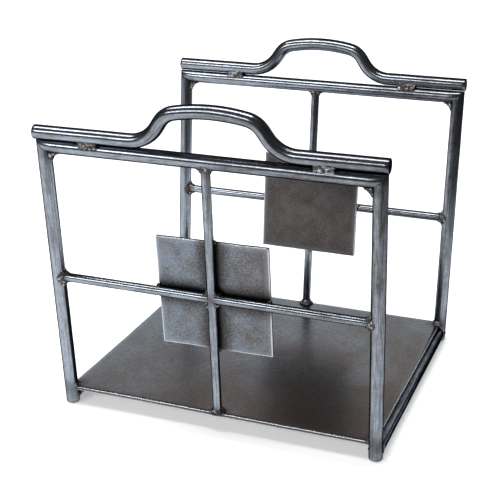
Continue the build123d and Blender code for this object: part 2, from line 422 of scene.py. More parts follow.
@dataclass(frozen=True)
class SheetFinish:
    """Sheet steel: dark brown-grey, with blue-grey rubbed patches and worn edges, a painted light gradient
    across it, a painted highlight along its arrises with painted shade on the cut faces below, and soot with
    painted shade in bands beside the bars.
    """

    name: str
    half_width: float
    half_length: float
    thickness: float
    patina: Colour
    rubbed: Colour
    edge: Colour = (0.62, 0.67, 0.73)
    soot: Colour = (0.016, 0.012, 0.010)
    edge_tint: Colour = (0.40, 0.40, 0.41)
    sheen: float = 0.34
    clouds: float = 55.0
    brushing: float = 620.0
    stretch: tuple[float, float, float] = (1.0, 1.0, 1.0)
    specks: float = 1100.0
    bar_band: float = 0.0
    # Painted light: slopes of a straight gradient that lightens the sheet towards one side, across and
    # along.
    drift: tuple[float, float] = (0.0, 0.0)
    mottle: float = 1.0
    edge_run: float = 0.0060
    edge_wear: float = 0.12
    arris: float = 0.0009
    bars_side: tuple[float, float] = (0.0015, 0.0025)
    relief: float = 0.00010

    def build(self) -> bpy.types.Material:
        """Builds the material.

        Returns:
            The material.
        """
        g = Graph(self.name)
        place = g.attribute(PLACE, "Vector")
        soot = g.attribute(SOOT)
        across, along, level = g.axes(place)
        to_edge = (self.half_width - abs(across)).least(self.half_length - abs(along))
        clouds = g.noise(place, self.clouds, 6.0, 0.66)
        brushed = g.noise(g.scaled(place, self.stretch), self.brushing, 4.0, 0.7)
        speck = g.noise(place, self.specks, 2.0, 0.5)
        ragged_edge = to_edge + (clouds - 0.5) * self.edge_run + (brushed - 0.5) * (self.edge_run * 0.6)
        worn = ragged_edge.between(self.edge_run, 0.0)
        # Painted highlight: a thin bright line along every edge of the sheet.
        arris = to_edge.between(self.arris * 1.6, self.arris * 0.4)
        # Painted light: a straight gradient across the sheet, standing in for a brighter reflection on one
        # side.
        drift = across * self.drift[0] + along * self.drift[1]
        mottled = clouds.between(0.36, 0.66) * 0.50 + brushed.between(0.36, 0.66) * 0.60
        patches = ((mottled - 0.5) * self.mottle + 0.5 + drift).between(0.0, 1.0)
        body = g.blend(patches, self.patina, self.rubbed)
        flecked = g.blend(speck.between(0.62, 0.72) * 0.35, body, self.edge)
        spotted = g.blend(speck.between(0.38, 0.30) * 0.60, flecked, self.soot)
        rubbed = g.blend(worn * self.edge_wear, spotted, self.edge)
        half = self.thickness / 2
        # Painted shade: the cut edge's face, just below the bright arris line, is darkened in the soot
        # colour.
        on_cut_edge = to_edge.between(0.0005, 0.0001)
        below_arris = abs(level - half).between(half - 0.0004, half - 0.0010) * on_cut_edge
        shaded = g.blend(below_arris * 0.75, rubbed, self.soot)
        # Painted highlight: the edge colour laid along the arris.
        lit = g.blend(arris * (1 - below_arris) * 0.7, shaded, self.edge)
        soot_and_shade = soot
        # Soot and painted shade: dark bands beside the bars, on the face the bars lie on, where both weld
        # soot and the bars' shade fall.
        if self.bar_band:
            from_bars = abs(across).least(abs(along)) + (brushed - 0.5) * (self.bar_band * 0.5)
            beside_bars = from_bars.between(self.bar_band, self.bar_band * 0.25)
            soot_and_shade = (soot + beside_bars * level.between(*self.bars_side) * 0.80).least(1.0)
        colour = g.blend((soot_and_shade * (0.7 + clouds * 0.6)).least(1.0), lit, self.soot)
        rough = self.sheen - patches * 0.05 - worn * 0.04 + soot * 0.15
        clouded = g.bump(brushed, self.relief, 0.5)
        normal = g.bump(speck, self.relief * 0.6, 0.4, clouded)
        return g.metal(colour, rough, normal, self.edge_tint)


@dataclass(frozen=True)
class WeldFinish:
    """Weld metal: dark brown scale in its hollows, burnished on its high spots, with painted shade at its
    silhouettes.
    """

    name: str
    scale: Colour = (0.085, 0.072, 0.065)
    metal: Colour = (0.36, 0.39, 0.43)
    rim_dark: Colour = (0.012, 0.010, 0.009)
    edge_tint: Colour = (0.15, 0.15, 0.15)
    grain: float = 650.0
    pits: float = 1500.0
    relief: float = 0.00022

    def build(self) -> bpy.types.Material:
        """Builds the material.

        Returns:
            The material.
        """
        g = Graph(self.name)
        place = g.object_place()
        high = g.attribute(RELIEF)
        grain = g.noise(place, self.grain, 4.0, 0.6)
        pits = g.noise(place, self.pits, 2.0, 0.5)
        worn = (high * 0.9 + (grain - 0.5) * 0.9).between(0.42, 0.74)
        bright = worn * (1 - pits.between(0.58, 0.68) * 0.7)
        metal = g.blend(bright, self.scale, self.metal)
        # Painted shade: darker where the surface turns away from the eye, at the weld's silhouettes.
        colour = g.blend(g.rim(0.6, 0.95) * 0.8, metal, self.rim_dark)
        rough = 0.48 - bright * 0.16
        normal = g.bump(grain, self.relief, 0.6)
        return g.metal(colour, rough, normal, self.edge_tint)


@dataclass(frozen=True)
class FloorFinish:
    """Pale floor with a fine even grain; painted shade makes it dark far in front and to the right, and
    painted light makes it glow softly under the rack and behind it.
    """

    name: str = "floor_pale"
    low: Colour = (0.86, 0.86, 0.86)
    high: Colour = (0.90, 0.90, 0.90)
    far: Colour = (0.15, 0.15, 0.15)
    grain: float = 3.0
    glow: float = 0.34
    front_fade: tuple[float, float] = (1.15, 0.55)
    right_fade: tuple[float, float] = (0.85, 0.40)

    def build(self) -> bpy.types.Material:
        """Builds the material.

        Returns:
            The material.
        """
        g = Graph(self.name)
        place = g.object_place()
        across, depth, _ = g.axes(place)
        # Painted shade: dark far in front of the rack and to its right, out of view, where the steel mirrors
        # it.
        lit = (across - depth).between(*self.front_fade).least(across.between(*self.right_fade))
        grain = g.noise(place, self.grain, 2.0)
        pale = g.blend(grain, self.low, self.high)
        colour = g.blend(lit, self.far, pale)
        # Painted light: the floor glows wherever it stays pale.
        glow = g.blend(lit, (0.0, 0.0, 0.0), (1.0, 1.0, 1.0))
        return g.finish({"Base Color": colour, "Roughness": 0.9, "Specular IOR Level": 0.0,
                         "Emission Color": glow, "Emission Strength": self.glow})


# ---------------------------------------------------------------------------------------------
# Where things are
# ---------------------------------------------------------------------------------------------


def middle(node: str) -> Vector:
    """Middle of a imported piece's box."""
    low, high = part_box(node)
    return (low + high) / 2


def plate_top() -> float:
    """Height of the base plate's upper face."""
    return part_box("base_plate")[1].z


@dataclass(frozen=True)
class FrameFace:
    """A leaning frame's own coordinates: u to the right, s up its slope, out from the bay."""

    side: Side
    foot: Vector
    slope: Vector
    outward: Vector
    bar_r: float
    thin_r: float
    half_spacing: float
    rail_s: float
    handle_s: float
    cross_s: float
    centre_u: float

    @classmethod
    def read(cls, side: Side, record: dict[str, Any]) -> FrameFace:
        """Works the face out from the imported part.

        Args:
            side: which frame.
            record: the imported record, whose mounts give the legs' axes at the floor.

        Returns:
            The frame's face.
        """
        name = side.prefix
        feet = {m["name"]: Vector(m["pos_m"]) for m in record["mounts"]}
        foot = (feet[f"foot_{name}_left"] + feet[f"foot_{name}_right"]) / 2
        low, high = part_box(f"{name}_leg_left")
        bar_r = (high.x - low.x) / 2
        rail = middle(f"{name}_top_rail")
        rise = Vector((0, rail.y - foot.y, rail.z))
        slope = rise.normalized()
        cross_low, cross_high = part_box(f"{name}_cross_bar_left")
        return cls(
            side=side,
            foot=foot,
            slope=slope,
            outward=Vector((0, side.value * slope.z, -side.value * slope.y)),
            bar_r=bar_r,
            thin_r=(cross_high.z - cross_low.z) / 2,
            half_spacing=abs(low.x + high.x) / 2,
            rail_s=rise.length,
            handle_s=rise.length + 2 * bar_r + HANDLE_GAP,
            cross_s=(cross_low.z + cross_high.z) / 2 / slope.z,
            centre_u=middle(f"{name}_centre_bar").x,
        )

    def point(self, u: float, s: float, out: float = 0.0) -> Vector:
        """Point of the frame."""
        return self.foot + RIGHT * u + self.slope * s + self.outward * out

    def corner(self, hand: Hand) -> Vector:
        """Where a leg's axis meets the rail's."""
        return self.point(hand.value * self.half_spacing, self.rail_s)


# ---------------------------------------------------------------------------------------------
# Soot beside the welds
# ---------------------------------------------------------------------------------------------


@dataclass
class SootMap:
    """Places where welding left soot on the steel."""

    spots: list[tuple[Vector, float, float]] = field(default_factory=list)

    def add(self, centre: Vector, reach: float, strength: float) -> None:
        """Adds a spot.

        Args:
            centre: middle of the weld.
            reach: distance at which the soot has faded out.
            strength: soot at the middle, 0 to 1.
        """
        self.spots.append((centre, reach, strength))

    def at(self, point: Vector) -> float:
        """Reads the soot at a point.

        Args:
            point: a point of the steel.

        Returns:
            How sooty it is, 0 to 1.
        """
        most = 0.0
        for centre, reach, strength in self.spots:
            nearness = 1 - (point - centre).length / reach
            if nearness > 0:
                most = max(most, strength * nearness * nearness * (3 - 2 * nearness))
        return most


# ---------------------------------------------------------------------------------------------
# Mesh building
# ---------------------------------------------------------------------------------------------


def verts_of(result: dict[str, Any]) -> list[BMVert]:
    """The vertices in a bmesh operator's result."""
    found = result.get("verts") or result.get("geom") or result.get("geom_last")
    return [g for g in found if isinstance(g, BMVert)]


def edges_of(result: dict[str, Any]) -> list[BMEdge]:
    """The edges in a bmesh operator's result."""
    return [g for g in result["geom"] if isinstance(g, BMEdge)]


def sharp_edges(bm: BMesh, degrees: float) -> list[BMEdge]:
    """Edges whose two faces meet at more than an angle."""
    limit = math.radians(degrees)
    return [e for e in bm.edges if len(e.link_faces) == 2 and e.calc_face_angle(0.0) > limit]


def bevel(bm: BMesh, edges: Iterable[BMEdge], width: float, segments: int) -> None:
    """Rounds edges.

    Args:
        bm: the mesh.
        edges: the edges to round.
        width: width of the rounding.
        segments: steps round it.
    """
    bmesh.ops.bevel(bm, geom=list(edges), offset=width, offset_type="OFFSET", segments=segments,
                    profile=0.5, affect="EDGES", material=-1, clamp_overlap=True)


@dataclass(frozen=True)
class Unevenness:
    """Slight waviness of a hand-worked surface."""

    height: float
    spacing: float
    seed: float = 0.0

    def at(self, point: Vector) -> float:
        """Height at a point, either side of zero."""
        shift = Vector((self.seed, self.seed * 1.7, self.seed * 2.3))
        return self.height * noise.noise(point / self.spacing + shift)

    def apply(self, bm: BMesh) -> None:
        """Moves every vertex a little along its normal.

        Args:
            bm: the mesh.
        """
        bm.normal_update()
        moves = [(v, v.normal * self.at(v.co)) for v in bm.verts]
        for vert, move in moves:
            vert.co += move


class BarMesh:
    """Grows one round bar ring by ring, and keeps each point's place in the bar."""

    SEGMENTS = 40
    CAP_INSET = 1.2 * MM

    def __init__(self, start: Vector, direction: Vector, across: Vector, radius: float) -> None:
        """Makes the first ring.

        Args:
            start: middle of the first ring.
            direction: the way the bar sets off.
            across: a direction square to it, which fixes how the ring is turned.
            radius: the bar's radius.
        """
        self.bm = bmesh.new()
        self.layer = self.bm.verts.layers.float_vector.new(PLACE)
        self.direction = direction.normalized()
        self.tip = start.copy()
        self.along = 0.0
        third = self.direction.cross(across)
        turn = Matrix((across, third, self.direction)).transposed().to_4x4()
        where = Matrix.Translation(start) @ turn
        ring = bmesh.ops.create_circle(self.bm, segments=self.SEGMENTS, radius=radius, cap_ends=False,
                                       matrix=where)
        self.ring = verts_of(ring)
        self.open_edges = list(self.bm.edges)
        back = where.inverted()
        for vert in self.ring:
            vert[self.layer] = back @ vert.co

    def _step(self, move: Matrix, length: float) -> None:
        """Extrudes the open ring once.

        Args:
            move: the movement from this ring to the next.
            length: distance along the bar.
        """
        grown = bmesh.ops.extrude_edge_only(self.bm, edges=self.open_edges)
        self.ring = verts_of(grown)
        ring = set(self.ring)
        self.open_edges = [e for e in edges_of(grown) if ring.issuperset(e.verts)]
        bmesh.ops.transform(self.bm, matrix=move, verts=self.ring)
        self.along += length
        for vert in self.ring:
            x, y, _ = vert[self.layer]
            vert[self.layer] = Vector((x, y, self.along))

    def run(self, length: float, step: float = 0.004) -> BarMesh:
        """Goes straight on.

        Args:
            length: how far.
            step: largest distance between two rings.

        Returns:
            The bar, for the next step.
        """
        steps = max(1, math.ceil(length / step))
        move = Matrix.Translation(self.direction * (length / steps))
        for _ in range(steps):
            self._step(move, length / steps)
        self.tip += self.direction * length
        return self

    def bend(self, towards: Vector, radius: float, step: float = 0.0025) -> BarMesh:
        """Bends until the bar points another way.

        Args:
            towards: the direction to end in.
            radius: radius of the bend, at the bar's axis.
            step: largest distance between two rings.

        Returns:
            The bar, for the next step.
        """
        angle = self.direction.angle(towards)
        axis = self.direction.cross(towards).normalized()
        centre = self.tip + axis.cross(self.direction) * radius
        steps = max(2, math.ceil(angle * radius / step))
        turn = Matrix.Rotation(angle / steps, 4, axis)
        move = Matrix.Translation(centre) @ turn @ Matrix.Translation(-centre)
        for _ in range(steps):
            self._step(move, angle * radius / steps)
        self.tip = centre + Matrix.Rotation(angle, 3, axis) @ (self.tip - centre)
        self.direction = towards.normalized()
        return self

    def follow(self, corners: Sequence[Vector], radii: Sequence[float]) -> BarMesh:
        """Runs through corners, each rounded to a bend.

        Args:
            corners: the route's points, from the bar's start.
            radii: bend radius at each inner point.

        Returns:
            The bar, for the next step.
        """
        legs = [b - a for a, b in zip(corners, corners[1:])]
        trims = [r * math.tan(a.angle(b) / 2) for r, a, b in zip(radii, legs, legs[1:])]
        for index, leg in enumerate(legs):
            before = trims[index - 1] if index else 0.0
            after = trims[index] if index < len(trims) else 0.0
            self.run(leg.length - before - after)
            if index < len(trims):
                self.bend(legs[index + 1].normalized(), radii[index])
        return self

    def slide_end(self, point: Vector, normal: Vector) -> BarMesh:
        """Slides the open ring along the bar onto a plane, as a saw cut would leave it.

        Args:
            point: a point of the plane.
            normal: the plane's normal.

        Returns:
            The bar, for the next step.
        """
        for vert in self.ring:
            slide = (point - vert.co).dot(normal) / self.direction.dot(normal)
            vert.co += self.direction * slide
            vert[self.layer] = Vector(vert[self.layer]) + UP * slide
        return self

    def close(self, start_round: float, end_round: float) -> BMesh:
        """Caps both ends and rounds their rims.

        Args:
            start_round: rounding of the first end's rim.
            end_round: rounding of the last end's rim.

        Returns:
            The finished mesh.
        """
        last = set(self.open_edges)
        first = [e for e in self.bm.edges if e.is_boundary and e not in last]
        rims = ((first, start_round), (self.open_edges, end_round))
        for rim, _ in rims:
            bmesh.ops.holes_fill(self.bm, edges=rim, sides=0)
        for rim, width in rims:
            bevel(self.bm, rim, width, 4 if width > MM else 2)
        caps = [f for f in self.bm.faces if len(f.verts) > 4]
        bmesh.ops.inset_individual(self.bm, faces=caps, thickness=self.CAP_INSET, depth=0.0)
        bmesh.ops.recalc_face_normals(self.bm, faces=self.bm.faces)
        return self.bm


@dataclass(frozen=True)
class SheetMesh:
    """One rectangular sheet, built flat and then laid in place."""

    width: float
    length: float
    thickness: float
    cell: float = 0.003
    corner_round: float = 0.0008
    edge_round: float = 0.0004
    dish: Unevenness = Unevenness(0.0005, 0.09)
    snip: Unevenness = Unevenness(0.0003, 0.018)

    def build(self, where: Matrix) -> BMesh:
        """Builds the sheet.

        Args:
            where: takes the sheet from its own axes, thickness along +Z from 0, to its place.

        Returns:
            The finished mesh.
        """
        bm = bmesh.new()
        layer = bm.verts.layers.float_vector.new(PLACE)
        bmesh.ops.create_grid(bm, x_segments=round(self.width / self.cell),
                              y_segments=round(self.length / self.cell), size=0.5,
                              matrix=Matrix.Diagonal((self.width, self.length, 1, 1)))
        grown = bmesh.ops.extrude_face_region(bm, geom=list(bm.faces))
        bmesh.ops.translate(bm, verts=verts_of(grown), vec=UP * self.thickness)
        bmesh.ops.recalc_face_normals(bm, faces=bm.faces)
        corners = [e for e in sharp_edges(bm, SQUARE) if e.verts[0].co.xy == e.verts[1].co.xy]
        bevel(bm, corners, self.corner_round, 3)
        bevel(bm, sharp_edges(bm, SQUARE), self.edge_round, 2)
        for vert in bm.verts:
            vert[layer] = vert.co
            flat = Vector((vert.co.x, vert.co.y, 0))
            edge = min(self.width / 2 - abs(flat.x), self.length / 2 - abs(flat.y))
            if edge < self.edge_round * 1.2:
                vert.co += flat.normalized() * self.snip.at(flat)
            vert.co.z += self.dish.at(flat)
        bmesh.ops.transform(bm, matrix=where, verts=bm.verts)
        return bm


class WeldMesh:
    """Weld metal laid down as overlapping drops, then fused into one skin."""

    SMOOTHINGS = 8
    FILLET_STEPS = 8
    FILLET_TAPER = 0.45         # how much smaller a fillet's drops get towards its toes
    FILLET_SINK = 0.10          # how deep they sit in the two surfaces, in drop sizes
    FILLET_ROOT = 0.12          # where the drop in the corner lies, as a part of the fillet's size
    COLLAR_SPOKES = 20
    COLLAR_ROWS = 4
    COLLAR_DROP = 1.25 * MM
    COLLAR_SINK = 0.3 * MM      # how deep a collar's drops sit in the surface
    COLLAR_FLANK = 0.55         # how much less a collar reaches across a round bar than along it

    def __init__(self, seed: int) -> None:
        """Starts with no drops.

        Args:
            seed: fixes the drops' small differences.
        """
        self.bm = bmesh.new()
        self.random = random.Random(seed)

    def drop(self, centre: Vector, radii: Sequence[float], axes: Matrix) -> None:
        """Lays one drop.

        Args:
            centre: its middle.
            radii: its three half-sizes.
            axes: the directions of those sizes, as a 3 by 3 matrix's columns.
        """
        where = Matrix.Translation(centre) @ axes.to_4x4() @ Matrix.Diagonal((*radii, 1))
        bmesh.ops.create_icosphere(self.bm, subdivisions=2, radius=1.0, matrix=where)

    def bead(self, points: Sequence[Vector], radii: Sequence[float], axes: Matrix, jitter: float) -> None:
        """Lays drops along a line.

        Args:
            points: the drops' middles.
            radii: a drop's three half-sizes.
            axes: the directions of those sizes.
            jitter: how much sizes and places differ, as a part of the size.
        """
        for point in points:
            grow = 1 + self.random.uniform(-jitter, jitter)
            shift = Vector([self.random.uniform(-jitter, jitter) * r for r in radii])
            self.drop(point + axes @ shift, [r * grow for r in radii], axes)

    def fillet(self, corner: Vector, first: Vector, second: Vector, size: float, thick: float,
               axes: Matrix) -> None:
        """Lays a hollow fillet into a corner.

        Args:
            corner: where the two surfaces meet.
            first: direction along one surface.
            second: direction along the other.
            size: reach along each surface.
            thick: the drops' half-size.
            axes: the drops' axes.
        """
        for step in range(self.FILLET_STEPS + 1):
            turn = math.radians(90 * step / self.FILLET_STEPS)
            reach = (1 - math.cos(turn), 1 - math.sin(turn))
            taper = 1 - self.FILLET_TAPER * max(reach)
            point = corner + (first * reach[0] + second * reach[1]) * (size - 0.5 * thick)
            point -= (first + second) * self.FILLET_SINK * thick
            self.bead([point], [thick * taper * 1.1] * 3, axes, 0.06)
        root = corner + (first + second) * self.FILLET_ROOT * size
        self.bead([root], [thick * 1.2] * 3, axes, 0.04)

    def collar(self, centre: Vector, axes: Matrix, radius: float, met_radius: float, reach: float) -> None:
        """Lays a hollow fillet round a bar that stands on another bar or on a sheet.

        Args:
            centre: where the standing bar's axis meets the other bar's axis, or the sheet.
            axes: columns along the met bar, across both bars, and along the standing bar.
            radius: the standing bar's radius.
            met_radius: the met bar's radius, 0 for a sheet.
            reach: how far the fillet reaches along both.
        """
        for spoke in range(self.COLLAR_SPOKES):
            turn = math.tau * spoke / self.COLLAR_SPOKES
            flank = abs(math.sin(turn)) if met_radius else 0.0
            size = reach * (1 - self.COLLAR_FLANK * flank)
            for row in range(self.COLLAR_ROWS + 1):
                arc = math.radians(90 * row / self.COLLAR_ROWS)
                away = radius + size * (1 - math.sin(arc))
                along, across = away * math.cos(turn), away * math.sin(turn)
                surface = math.sqrt(max(0.0, met_radius ** 2 - across ** 2))
                rise = surface + size * (1 - math.cos(arc))
                taper = 1.25 - 0.40 * (1 - math.sin(arc)) - 0.30 * (1 - math.cos(arc))
                point = centre + axes @ Vector((along, across, rise - self.COLLAR_SINK))
                self.bead([point], [self.COLLAR_DROP * taper] * 3, axes, 0.07)

    def fuse(self, name: str, voxel: float, ripple: Unevenness, grain: Unevenness) -> bpy.types.Mesh:
        """Fuses the drops and gives the skin its relief.

        Args:
            name: name of the mesh.
            voxel: size of the skin's cells.
            ripple: the larger lumps.
            grain: the smaller ones.

        Returns:
            The finished mesh, with the relief attribute.
        """
        rough = to_mesh(self.bm, f"{name}_drops")
        holder = add_object(f"{name}_drops", rough)
        remesh = holder.modifiers.new("fuse", "REMESH")
        remesh.mode = "VOXEL"
        remesh.voxel_size = voxel
        skin = bpy.data.meshes.new_from_object(holder.evaluated_get(bpy.context.evaluated_depsgraph_get()))
        bpy.data.objects.remove(holder)
        bpy.data.meshes.remove(rough)
        bm = bmesh.new()
        bm.from_mesh(skin)
        bpy.data.meshes.remove(skin)
        for _ in range(self.SMOOTHINGS):
            bmesh.ops.smooth_vert(bm, verts=bm.verts, factor=0.5, use_axis_x=True, use_axis_y=True,
                                  use_axis_z=True)
        layer = bm.verts.layers.float.new(RELIEF)
        bm.normal_update()
        moves = []
        for vert in bm.verts:
            rise = ripple.at(vert.co) + grain.at(vert.co)
            vert[layer] = min(1.0, max(0.0, 0.5 + 0.9 * rise / (ripple.height + grain.height)))
            moves.append((vert, vert.normal * rise))
        for vert, move in moves:
            vert.co += move
        return to_mesh(bm, name)


def add_object(name: str, data: bpy.types.ID) -> bpy.types.Object:
    """Puts a mesh, light or camera into the scene.

    Args:
        name: the object's name.
        data: what it shows.

    Returns:
        The object, at the origin.
    """
    holder = bpy.data.objects.new(name, data)
    bpy.context.scene.collection.objects.link(holder)
    return holder


def to_mesh(bm: BMesh, name: str) -> bpy.types.Mesh:
    """Writes a bmesh to a new mesh, smooth but for its sharp edges, and frees it.

    Args:
        bm: the bmesh.
        name: the mesh's name.

    Returns:
        The mesh.
    """
    for edge in sharp_edges(bm, CREASE):
        edge.smooth = False
    for face in bm.faces:
        face.smooth = True
    mesh = bpy.data.meshes.new(name)
    bm.to_mesh(mesh)
    bm.free()
    return mesh


@dataclass(frozen=True)
class Finishes:
    """The materials of the rack."""

    bar: bpy.types.Material
    thin_bar: bpy.types.Material
    plate: bpy.types.Material
    weld: bpy.types.Material


@dataclass
class Bench:
    """Where pieces are finished: it soots, dresses and names them, and fixes them to the rack."""

    soot: SootMap
    finishes: Finishes
    lump: float = 0.0004
    lump_spacing: float = 0.0026
    grain_spacing: float = 0.0011
    grain_seed: float = 5

    def steel(self, bm: BMesh, node: str, material: bpy.types.Material, slot: Slot) -> None:
        """Finishes a bar or sheet.

        Args:
            bm: its mesh, which is freed.
            node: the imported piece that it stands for.
            material: its finish.
            slot: the record's slot of that finish.
        """
        layer = bm.verts.layers.float.new(SOOT)
        for vert in bm.verts:
            vert[layer] = self.soot.at(vert.co)
        self.fix(to_mesh(bm, node), node, material, slot)

    def weld(self, drops: WeldMesh, node: str, seed: float, cell: float) -> None:
        """Fuses and finishes a weld.

        Args:
            drops: its drops.
            node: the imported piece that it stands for.
            seed: fixes its lumps.
            cell: size of its skin's cells.
        """
        ripple = Unevenness(self.lump, self.lump_spacing, seed)
        grain = Unevenness(self.lump / 2, self.grain_spacing, self.grain_seed)
        self.fix(drops.fuse(node, cell, ripple, grain), node, self.finishes.weld, Slot.WELD)

    def fix(self, mesh: bpy.types.Mesh, node: str, material: bpy.types.Material, slot: Slot) -> None:
        """Makes a mesh a piece of the rack.

        Args:
            mesh: the finished mesh.
            node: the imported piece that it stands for.
            material: its finish.
            slot: the record's slot of that finish.
        """
        piece = add_object(f"{node}_steel", mesh)
        mesh.materials.append(material)
        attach(piece, BODY)
        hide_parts(node)
        LOG.info("%s: %d faces, %s", piece.name, len(mesh.polygons), slot.value)


# ---------------------------------------------------------------------------------------------
# The two frames
# ---------------------------------------------------------------------------------------------


@dataclass
class RackFrame:
    """One leaning frame: legs, rail, humped handle, cross and centre bars, panel and welds.

    Sizes are in metres, but mitre_run and seat are in bar radii and the weld rows in millimetres.
    """

    face: FrameFace
    bench: Bench
    panel_steel: bpy.types.Material
    hump_u: float
    pad_insets: tuple[float, float]
    panel_turn: float
    handle_out: float
    handle_turn: float
    hump_foot: float = 0.0575
    hump_shoulder: float = 0.040
    hump_rise: float = 0.026
    hump_crown: float = 0.0075
    hump_foot_r: float = 0.031
    hump_shoulder_r: float = 0.020
    crown_flat: float = 0.002
    foot_round: float = 0.0022
    cut_round: float = 0.0005
    panel_side: float = 0.105
    panel_t: float = 0.003
    panel_gap: float = 0.1 * MM
    wobble: float = 0.00010
    mitre_run: float = 1.4
    seat: float = 0.6
    weld_cell: float = 0.00038
    corner_rows: tuple[tuple[float, float], ...] = ((-2.6, 7.0), (0.0, 8.6), (2.6, 7.0))
    corner_drop: float = 2.2 * MM
    pad_length: float = 0.019
    pad_columns: int = 9
    pad_rows: tuple[float, ...] = (-4.4, -2.0, 0.0, 2.0, 4.4)
    pad_levels: tuple[float, ...] = (-1.9, 1.9)
    pad_drop: tuple[float, float, float] = (2.3 * MM, 2.5 * MM, 2.0 * MM)
    cross_collar: float = 4.4 * MM
    rail_collar: float = 3.4 * MM
    foot_collar: float = 2.8 * MM
    foot_lift: float = 0.9 * MM
    crossing_rows: tuple[float, ...] = (-1.8, 0.0, 1.8)
    crossing_size: float = 4.8 * MM
    crossing_drop: float = 1.7 * MM
    tack_drop: tuple[float, float, float] = (2.3 * MM, 2.1 * MM, 1.9 * MM)

    @property
    def name(self) -> str:
        """Start of this frame's piece names."""
        return self.face.side.prefix

    @property
    def axes(self) -> Matrix:
        """Columns: right, up the slope, and out from the bay."""
        return Matrix((RIGHT, self.face.slope, self.face.outward)).transposed()

    def build(self) -> None:
        """Builds every piece of the frame."""
        self.note_soot()
        for hand in Hand:
            self.build_leg(hand)
            self.build_cross_bar(hand)
        self.build_rail()
        self.build_handle()
        self.build_centre_bar()
        self.build_panel()
        self.weld_corners()
        self.weld_pads()
        self.weld_cross_bars()
        self.weld_crossing()
        self.weld_centre_bar()
        self.weld_tacks()

    def note_soot(self) -> None:
        """Marks where this frame's welds soot the steel."""
        f = self.face
        soot = self.bench.soot
        for hand in Hand:
            inner = hand.value * (f.half_spacing - f.bar_r)
            foot = Vector((hand.value * f.half_spacing, f.foot.y, plate_top()))
            soot.add(f.point(inner, f.rail_s - f.bar_r), reach=0.013, strength=0.95)
            soot.add(f.point(inner, f.cross_s), reach=0.010, strength=0.9)
            soot.add(foot, reach=0.016, strength=0.85)
        for u in self.pad_places():
            for part in (-0.35, 0.0, 0.35):
                place = f.point(u + part * self.pad_length, (f.rail_s + f.handle_s) / 2)
                soot.add(place, reach=0.0095, strength=1.0)
        soot.add(f.point(f.centre_u, f.rail_s - f.bar_r), reach=0.010, strength=0.9)
        soot.add(f.point(f.centre_u, f.cross_s), reach=0.011, strength=0.8)
        soot.add(f.point(f.centre_u, plate_top() / f.slope.z), reach=0.012, strength=0.9)

    def pad_places(self) -> tuple[float, float]:
        """Middles of the two handle pads along the rail."""
        left, right = self.pad_insets
        return left - self.face.half_spacing, self.face.half_spacing - right

    def handle_out_at(self, u: float) -> float:
        """How far out from the rail the handle bar lies."""
        return self.handle_out - u * math.tan(self.handle_turn)

    def uneven(self, seed: float) -> Unevenness:
        """The bars' slight waviness."""
        return Unevenness(self.wobble, 0.020, seed)

    def finish_bar(self, bm: BMesh, part: str, slot: Slot) -> None:
        """Waves a bar slightly and fixes it.

        Args:
            bm: the bar's mesh.
            part: the piece's name without the frame's.
            slot: BAR or THIN_BAR.
        """
        self.uneven(len(part) + self.face.side.value).apply(bm)
        finishes = self.bench.finishes
        material = finishes.bar if slot is Slot.BAR else finishes.thin_bar
        self.bench.steel(bm, f"{self.name}_{part}", material, slot)

    def build_leg(self, hand: Hand) -> None:
        """Leg: level rounded foot, mitred top.

        Args:
            hand: which leg.
        """
        f = self.face
        u = hand.value * f.half_spacing
        bar = BarMesh(f.point(u, 0), f.slope, f.outward, f.bar_r)
        bar.slide_end(f.point(u, 0), UP)
        clear = f.rail_s - self.mitre_run * f.bar_r
        bar.run(clear).run(f.rail_s - clear)
        bar.slide_end(f.corner(hand), f.slope - RIGHT * hand.value)
        self.finish_bar(bar.close(self.foot_round, self.cut_round), f"leg_{hand.suffix}", Slot.BAR)

    def build_rail(self) -> None:
        """Top rail: mitred at both ends."""
        f = self.face
        end_run = self.mitre_run * f.bar_r
        reach = f.half_spacing - end_run
        bar = BarMesh(f.point(-f.half_spacing, f.rail_s), RIGHT, f.outward, f.bar_r)
        bar.slide_end(f.corner(Hand.LEFT), f.slope + RIGHT)
        bar.run(end_run, end_run).slide_end(f.point(-reach, f.rail_s), RIGHT)
        bar.run(2 * reach).run(end_run, end_run)
        bar.slide_end(f.corner(Hand.RIGHT), f.slope - RIGHT)
        self.finish_bar(bar.close(self.cut_round, self.cut_round), "top_rail", Slot.BAR)

    def build_handle(self) -> None:
        """Handle bar: one bar bent up into a crowned hump."""
        f = self.face
        low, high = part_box(f"{self.name}_handle_bar")
        apex = self.hump_rise + self.hump_crown
        slope_angle = math.atan2(self.hump_rise, self.hump_foot - self.hump_shoulder)
        crown_angle = math.atan2(self.hump_crown, self.hump_shoulder)
        shoulder_run = self.hump_shoulder_r * math.tan((slope_angle - crown_angle) / 2)
        crown_run = math.hypot(self.hump_shoulder, self.hump_crown) - shoulder_run - self.crown_flat
        crown_r = crown_run / math.tan(crown_angle)
        route = (
            (low.x, 0.0),
            (self.hump_u - self.hump_foot, 0.0),
            (self.hump_u - self.hump_shoulder, self.hump_rise),
            (self.hump_u, apex),
            (self.hump_u + self.hump_shoulder, self.hump_rise),
            (self.hump_u + self.hump_foot, 0.0),
            (high.x, 0.0),
        )
        corners = [f.point(u, f.handle_s + rise, self.handle_out_at(u)) for u, rise in route]
        along = (corners[-1] - corners[0]).normalized()
        radii = (self.hump_foot_r, self.hump_shoulder_r, crown_r, self.hump_shoulder_r, self.hump_foot_r)
        bar = BarMesh(corners[0], along, f.slope, f.bar_r).follow(corners, radii)
        self.finish_bar(bar.close(self.cut_round, self.cut_round), "handle_bar", Slot.BAR)

